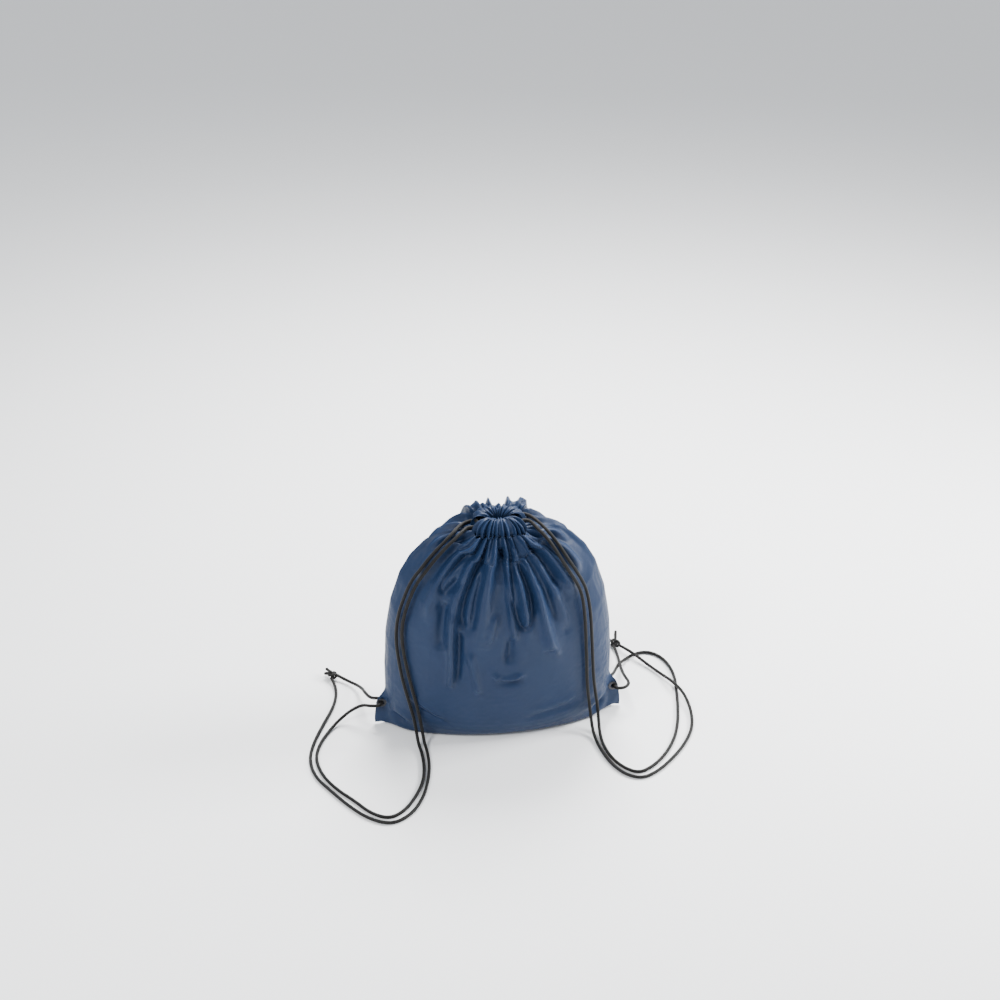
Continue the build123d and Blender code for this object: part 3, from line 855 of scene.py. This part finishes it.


# creases pressed into the front: places (across, height), half width,
# height (into the cloth if below 0)
creases = [
    # left fold that hangs down as a tongue
    ([(-0.016, 0.297), (-0.026, 0.276), (-0.042, 0.247), (-0.053, 0.213), (-0.054, 0.19),
      (-0.048, 0.175)], 0.0042, -0.0052),
    ([(-0.048, 0.175), (-0.041, 0.18), (-0.038, 0.198), (-0.034, 0.23), (-0.024, 0.261)],
     0.003, -0.0026),
    ([(-0.028, 0.262), (-0.041, 0.223), (-0.047, 0.188)], 0.0045, 0.0034),
    # right tongue under the deep slot
    ([(-0.001, 0.289), (0.001, 0.281), (0.003, 0.272)], 0.004, -0.0125),
    ([(0.003, 0.272), (0.004, 0.25), (0.009, 0.222), (0.016, 0.2), (0.022, 0.18), (0.028, 0.175),
      (0.036, 0.181), (0.038, 0.204), (0.034, 0.232), (0.023, 0.258), (0.013, 0.276)], 0.0034, -0.005),
    ([(0.009, 0.266), (0.017, 0.25), (0.025, 0.22), (0.028, 0.19)], 0.0055, 0.0046),
    ([(0.013, 0.264), (0.014, 0.243)], 0.0022, -0.003),
    # broad smooth panel between the two
    ([(-0.008, 0.292), (-0.013, 0.255), (-0.017, 0.215), (-0.02, 0.17)], 0.01, 0.003),
    # left loop
    ([(-0.032, 0.291), (-0.055, 0.27), (-0.075, 0.249), (-0.08, 0.235), (-0.075, 0.228),
      (-0.062, 0.24), (-0.05, 0.254)], 0.0036, -0.004),
    ([(-0.04, 0.276), (-0.06, 0.257), (-0.07, 0.243)], 0.0048, 0.003),
    ([(-0.034, 0.299), (-0.054, 0.291), (-0.066, 0.283)], 0.0034, -0.0032),
    # long soft folds below
    ([(-0.074, 0.22), (-0.078, 0.19), (-0.081, 0.144)], 0.007, -0.0067),
    ([(-0.065, 0.208), (-0.067, 0.16), (-0.066, 0.112), (-0.07, 0.088)], 0.0052, 0.0064),
    ([(-0.058, 0.18), (-0.057, 0.137), (-0.062, 0.096)], 0.005, -0.0058),
    ([(-0.045, 0.15), (-0.037, 0.105), (-0.032, 0.078)], 0.0052, 0.0054),
    ([(0.014, 0.17), (0.009, 0.15), (0.006, 0.122)], 0.007, -0.0067),
    ([(-0.008, 0.205), (-0.014, 0.18), (-0.021, 0.156)], 0.0055, 0.0042),
    ([(-0.016, 0.116), (-0.007, 0.101), (0.012, 0.102), (0.028, 0.109)], 0.0042, 0.0048),
    ([(-0.012, 0.106), (0.004, 0.092), (0.026, 0.098)], 0.006, -0.0042),
    # right side
    ([(0.009, 0.3), (0.022, 0.278), (0.036, 0.256)], 0.0034, -0.005),
    ([(0.042, 0.244), (0.051, 0.198), (0.062, 0.158), (0.073, 0.126)], 0.0056, 0.0046),
    ([(0.054, 0.236), (0.062, 0.208), (0.07, 0.178)], 0.004, -0.0028),
    ([(0.067, 0.222), (0.08, 0.18), (0.085, 0.154)], 0.0062, -0.0042),
    ([(0.027, 0.294), (0.044, 0.274), (0.06, 0.254), (0.074, 0.228)], 0.0046, -0.005),
    ([(0.019, 0.3), (0.05, 0.284), (0.068, 0.26), (0.09, 0.226)], 0.004, 0.0042),
    ([(0.034, 0.301), (0.066, 0.278), (0.084, 0.256)], 0.0034, -0.0034),
    # low diagonal creases
    ([(-0.124, 0.072), (-0.102, 0.052), (-0.076, 0.037)], 0.0042, 0.0024),
    ([(-0.118, 0.056), (-0.096, 0.04), (-0.07, 0.028)], 0.0048, -0.0022),
    ([(0.03, 0.033), (0.064, 0.037), (0.1, 0.044)], 0.0048, -0.002),
    ([(0.04, 0.046), (0.072, 0.049), (0.104, 0.06)], 0.005, 0.0016),
    # the wall is drawn in above each flat corner
    ([(0.147, 0.03), (0.139, 0.021), (0.122, 0.012)], 0.005, -0.005),
    ([(0.144, 0.044), (0.132, 0.033), (0.112, 0.024)], 0.006, 0.0024),
    ([(-0.148, 0.03), (-0.14, 0.021), (-0.122, 0.012)], 0.0048, -0.0044),
    ([(-0.145, 0.043), (-0.134, 0.033), (-0.114, 0.024)], 0.006, 0.0022),
]
creaseShape = {
    "scale": 1.2,
    "deepest": -0.014,
    "highest": 0.008,
    "stopGap": 0.002,
    "endShare": 0.15,  # what is left of a crease at its ends
    "endLength": 0.014,
}


def pressCreases(grid, normals):
    across, height = grid[..., 0], grid[..., 2]
    push = np.zeros(across.shape)
    for stops, wide, lift in creases:
        line = routeLine("crease", [(x, 0, z) for x, z in stops])
        line, walked = evenly(line, creaseShape["stopGap"])
        lineX, lineZ = line[:, 0], line[:, 2]
        near = (across > lineX.min() - 3 * wide) & (across < lineX.max() + 3 * wide)
        near &= (height > lineZ.min() - 3 * wide) & (height < lineZ.max() + 3 * wide)
        gap = (across[near][:, None] - lineX[None]) ** 2
        gap = gap + (height[near][:, None] - lineZ[None]) ** 2
        closest = gap.argmin(1)
        taper = np.minimum(walked, walked[-1] - walked)[closest]
        rise = ease(taper, 0, min(creaseShape["endLength"], 0.4 * walked[-1]))
        fade = creaseShape["endShare"] + (1 - creaseShape["endShare"]) * rise
        push[near] += lift * fade * np.exp(-gap.min(1) / wide ** 2)
    push = np.clip(push * creaseShape["scale"], creaseShape["deepest"], creaseShape["highest"])
    return grid + normals * push[..., None]


# soft lumps of gathered cloth behind the mouth: place across the panel, half width, height
neckPuffs = [(0.27, 0.045, 0.0022), (0.4, 0.045, 0.0036), (0.515, 0.022, -0.0034),
             (0.63, 0.06, 0.0046), (0.76, 0.04, 0.0022)]
puffRows = (0.3555, 0.012)  # distance up the cloth, half height


def lumps(across, places):
    return sum(size * np.exp(-((across - place) / wide) ** 2) for place, wide, size in places)


def liftPuffs(grid, normals):
    up = np.linspace(0, cloth["neckRow"], grid.shape[0])[:, None]
    across = np.linspace(0, 1, grid.shape[1])[None, :]
    lift = lumps(across, neckPuffs) * np.exp(-((up - puffRows[0]) / puffRows[1]) ** 2)
    lift = lift * ease(up, cloth["neckRow"], 0.364)
    return grid + normals * lift[..., None]


def denser(grid):
    # a new row between every two, then the same across
    for _ in range(2):
        padded = np.concatenate([2 * grid[:1] - grid[1:2], grid, 2 * grid[-1:] - grid[-2:-1]])
        between = (9 * (padded[1:-2] + padded[2:-1]) - padded[:-3] - padded[3:]) / 16
        both = np.empty((2 * len(grid) - 1, *grid.shape[1:]))
        both[::2], both[1::2] = grid, between
        grid = both.transpose(1, 0, 2)
    return grid


eyeletHole = {"radius": 0.0044, "depth": 0.005}
for name, panel in panels.items():
    grid = denser(settled[name])
    normals = unit(denser(smoothNormals[name][:, ::4]))
    grid = pressCreases(grid, normals) if name == "front" else liftPuffs(grid, normals)
    grid = pressedByCords(grid.reshape(-1, 3)).reshape(grid.shape)
    piece = clothGrid(f"{name}PanelCloth", grid, (0, 0), (cloth["cutWidth"], cloth["neckRow"]),
                      flip=panel["facing"] > 0)
    eyeletX, eyeletZ = settling["eyelet"]
    pick(piece)
    bpy.ops.object.mode_set(mode="EDIT")
    bpy.ops.mesh.select_mode(type="FACE")
    bpy.ops.mesh.select_all(action="DESELECT")
    bpy.ops.object.mode_set(mode="OBJECT")
    for face in piece.data.polygons:
        middle = face.center
        fromEyelet = math.hypot(abs(middle.x) - eyeletX, middle.z - eyeletZ)
        face.select = fromEyelet < eyeletHole["radius"] and abs(middle.y) < eyeletHole["depth"]
    bpy.ops.object.mode_set(mode="EDIT")
    bpy.ops.mesh.delete(type="FACE")
    bpy.ops.object.mode_set(mode="OBJECT")
    applyModifier(piece, "SOLIDIFY", thickness=cloth["thickness"], offset=-1)
    belongs(piece, f"{name}_panel")
    print(f"sack: {name} panel finished with {len(piece.data.polygons)} faces")


# gathered hem round the mouth, from its stitching up over the crest and down into the mouth:
# half width, depth from the middle, middle, height at the panel's middle and at the sides,
# pleat depth
hems = {
    "front": [
        (0.0316, 0.019, -0.009, 0.296, 0.299, 0.0034),
        (0.032, 0.0199, -0.009, 0.2984, 0.3007, 0.0034),
        (0.0325, 0.0206, -0.009, 0.301, 0.303, 0.0032),
        (0.0318, 0.0198, -0.0088, 0.305, 0.3068, 0.0029),
        (0.03, 0.0175, -0.0085, 0.309, 0.3106, 0.0027),
        (0.0268, 0.0142, -0.008, 0.3126, 0.3138, 0.0025),
        (0.0228, 0.0106, -0.0072, 0.3152, 0.316, 0.0024),
        (0.018, 0.0072, -0.0064, 0.3162, 0.3166, 0.0022),
        (0.0132, 0.0046, -0.0058, 0.3146, 0.315, 0.0019),
        (0.0092, 0.0028, -0.0052, 0.3112, 0.3115, 0.0014),
        (0.0064, 0.0017, -0.0048, 0.306, 0.306, 0.001),
        (0.0045, 0.001, -0.0045, 0.3, 0.3, 0.0005),
    ],
    "back": [
        (0.0316, 0.0198, -0.009, 0.3085, 0.299, 0.0034),
        (0.032, 0.0206, -0.009, 0.3104, 0.3007, 0.0034),
        (0.0328, 0.0222, -0.0085, 0.3132, 0.3034, 0.0031),
        (0.0328, 0.0224, -0.008, 0.3166, 0.3075, 0.0029),
        (0.0315, 0.0208, -0.0076, 0.3194, 0.3114, 0.0027),
        (0.0288, 0.018, -0.0071, 0.3212, 0.3146, 0.0026),
        (0.0246, 0.0142, -0.0066, 0.3215, 0.3166, 0.0024),
        (0.0196, 0.0104, -0.0061, 0.32, 0.3168, 0.0021),
        (0.0144, 0.007, -0.0056, 0.317, 0.315, 0.0018),
        (0.01, 0.0045, -0.0051, 0.313, 0.3112, 0.0014),
        (0.0068, 0.0028, -0.0047, 0.307, 0.306, 0.001),
        (0.0045, 0.0018, -0.0045, 0.3005, 0.3, 0.0005),
    ],
}
hemShape = {
    "from": 0.06,
    "to": 0.94,
    "samples": 321,
    "square": 0.72,
    "cutHeight": 0.05,
    "steps": 1201,
    "riseHeights": (0.302, 0.318),
    "stagger": 0.0006,  # neighbouring gathers stand unevenly
    "ears": [(0.42, 0.05, 1), (0.64, 0.07, 1.2)],  # soft ears behind the mouth: place, width, size
    "earHeight": 0.0016,
}


def hemRow(name, wide, deep, centre, middle, side, pleat):
    facing = panels[name]["facing"]
    swing = np.linspace(math.pi, 0, hemShape["steps"])
    x = wide * np.sign(np.cos(swing)) * np.abs(np.cos(swing)) ** hemShape["square"]
    bow = np.abs(np.sin(swing)) ** hemShape["square"]
    row = np.stack([x, centre + facing * deep * bow, side + (middle - side) * bow], axis=1)
    walked = walk(row)
    across = np.linspace(hemShape["from"], hemShape["to"], hemShape["samples"])
    row = atStops(row, walked, across * walked[-1])
    heading = unit(np.gradient(row, axis=0))
    outward = unit(np.stack([heading[:, 1], -heading[:, 0], 0 * across], axis=1)) * -facing
    rise = ease(middle, *hemShape["riseHeights"])
    wave = neckWave(across + 0.006 * rise * np.sin(19 * across + 2 * facing))
    row = row + outward * (pleat * wave)[:, None]
    stagger = uneven(0, across, [(1, 57, 0.4), (1, 31, 1.9 * facing), (0.8, 83, 0)])
    row[:, 2] += rise * min(pleat / 0.0025, 1.2) * hemShape["stagger"] * stagger
    if name == "back":
        ears = lumps(across, hemShape["ears"])
        row[:, 2] += rise * min(pleat / 0.0025, 1.3) * hemShape["earHeight"] * (ears - 0.5)
    return row


def stitchLine(name, line):
    # short raised stitches, each a small spindle
    stitch = {"long": 0.0023, "gap": 0.0008, "thick": 0.00028}
    stops, _ = evenly(line, stitch["long"] + stitch["gap"])
    points, faces = [], []
    for start, stop in zip(stops, stops[1:]):
        heading = unit((stop - start)[None])[0]
        side = unit(np.cross(heading, (0, 0, 1))[None])[0]
        up = np.cross(side, heading)
        base = len(points)
        for share, thick in ((0.0, 0.35), (0.2, 0.9), (0.5, 1.0), (0.75, 0.85), (1.0, 0.35)):
            middle = start + heading * (stitch["long"] * share)
            for corner in range(6):
                angle = corner * math.pi / 3
                around = side * math.cos(angle) + up * math.sin(angle)
                points.append(middle + around * stitch["thick"] * thick)
        for ring in range(4):
            for corner in range(6):
                first = base + ring * 6
                near, far = first + corner, first + (corner + 1) % 6
                faces.append((near, far, far + 6, near + 6))
        faces += [tuple(base + k for k in range(5, -1, -1)), tuple(base + 24 + k for k in range(6))]
    mesh = bpy.data.meshes.new(name)
    mesh.from_pydata([tuple(p) for p in points], [], faces)
    return newPiece(mesh, navyThread)


def stitchRow(name):
    # just proud of the hem's second row
    wide, deep, *rest = hems[name][1]
    proud = 0.0006
    return hemRow(name, wide + proud, deep + proud, *rest)


def threadMaterial():
    thread, tree, shader = newMaterial("navyThread", {"Roughness": 0.5, "Sheen Weight": 0.2})
    place = addNode(tree, "ShaderNodeTexCoord")
    twist = addNode(tree, "ShaderNodeTexNoise", Scale=900.0, Detail=2.0)
    tree.links.new(place.outputs["Object"], twist.inputs["Vector"])
    tone = mixColour(tree, twist.outputs["Fac"], (0.014, 0.036, 0.095, 1), (0.045, 0.085, 0.18, 1))
    tree.links.new(tone, shader.inputs["Base Color"])
    return thread


navyThread = threadMaterial()

for name, profile in hems.items():
    grid = np.array([hemRow(name, *level) for level in profile])
    hemTop = cloth["neckRow"] + hemShape["cutHeight"]
    hem = clothGrid(f"{name}HemCloth", grid, (0, cloth["neckRow"]), (cloth["cutWidth"], hemTop),
                    flip=name == "back")
    applyModifier(hem, "SUBSURF", levels=1, render_levels=1)
    applyModifier(hem, "SOLIDIFY", thickness=cloth["thickness"], offset=-1)
    belongs(hem, f"{name}_cord_channel")
    stitches = stitchLine(f"{name}HemStitches", stitchRow(name))
    belongs(stitches)
print("sack: gathered hem done")


# seam allowances inside the sack

seamLook = {"width": 0.0085, "start": 0.001, "wander": 0.0005, "thickness": 0.0008,
            "cutLength": 0.4}


def seamAllowance(name, node, edge, inward):
    rows = []
    for share in (0.0, 0.35, 0.7, 1.0):
        wander = seamLook["wander"] * np.sin(np.arange(len(edge)) * 0.9) * share
        inside = edge + inward * (seamLook["start"] + seamLook["width"] * share)
        rows.append(inside + np.array([0, 1, 0]) * wander[:, None])
    piece = clothGrid(name, np.array(rows), (0, 0), (seamLook["cutLength"], seamLook["width"]))
    applyModifier(piece, "SOLIDIFY", thickness=seamLook["thickness"], offset=0)
    belongs(piece, node)


for side, column, towards in (("left", 0, 1), ("right", cloth["columns"], -1)):
    edge = settled["front"][2:-2, column]
    heading = unit(np.gradient(edge, axis=0))
    inward = np.stack([np.abs(heading[:, 2]) * towards, 0 * heading[:, 0],
                       -np.abs(heading[:, 0])], axis=1)
    seamAllowance(f"{side}SeamAllowance", f"{side}_side_seam", edge, unit(inward))
edge = settled["front"][0, 4:-4]
seamAllowance("bottomSeamAllowance", "bottom_seam", edge, np.tile((0.0, 0.0, 1.0), (len(edge), 1)))
print("sack: seam allowances done")


# eyelets keep their CAD shape and get dark plated metal

def eyeletMaterial():
    metal, tree, shader = newMaterial("blackNickel", {"Metallic": 1.0, "Roughness": 0.32})
    place = addNode(tree, "ShaderNodeTexCoord")
    haze = addNode(tree, "ShaderNodeTexNoise", Scale=260.0, Detail=5.0)
    tree.links.new(place.outputs["Object"], haze.inputs["Vector"])
    tone = mixColour(tree, haze.outputs["Fac"], (0.03, 0.03, 0.033, 1), (0.07, 0.07, 0.076, 1))
    tree.links.new(tone, shader.inputs["Base Color"])
    scuff = addNode(tree, "ShaderNodeMapRange", To_Min=0.22, To_Max=0.5)
    tree.links.new(haze.outputs["Fac"], scuff.inputs["Value"])
    tree.links.new(scuff.outputs["Result"], shader.inputs["Roughness"])
    dent = addNode(tree, "ShaderNodeBump", Strength=0.15, Distance=0.0002)
    tree.links.new(haze.outputs["Fac"], dent.inputs["Height"])
    tree.links.new(dent.outputs["Normal"], shader.inputs["Normal"])
    return metal


blackNickel = eyeletMaterial()
for side in ("left", "right"):
    for part in ("corner_eyelet", "eyelet_washer"):
        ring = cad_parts[f"{side}_{part}"]
        ring.data.materials.clear()
        ring.data.materials.append(blackNickel)
print("sack: eyelets finished")
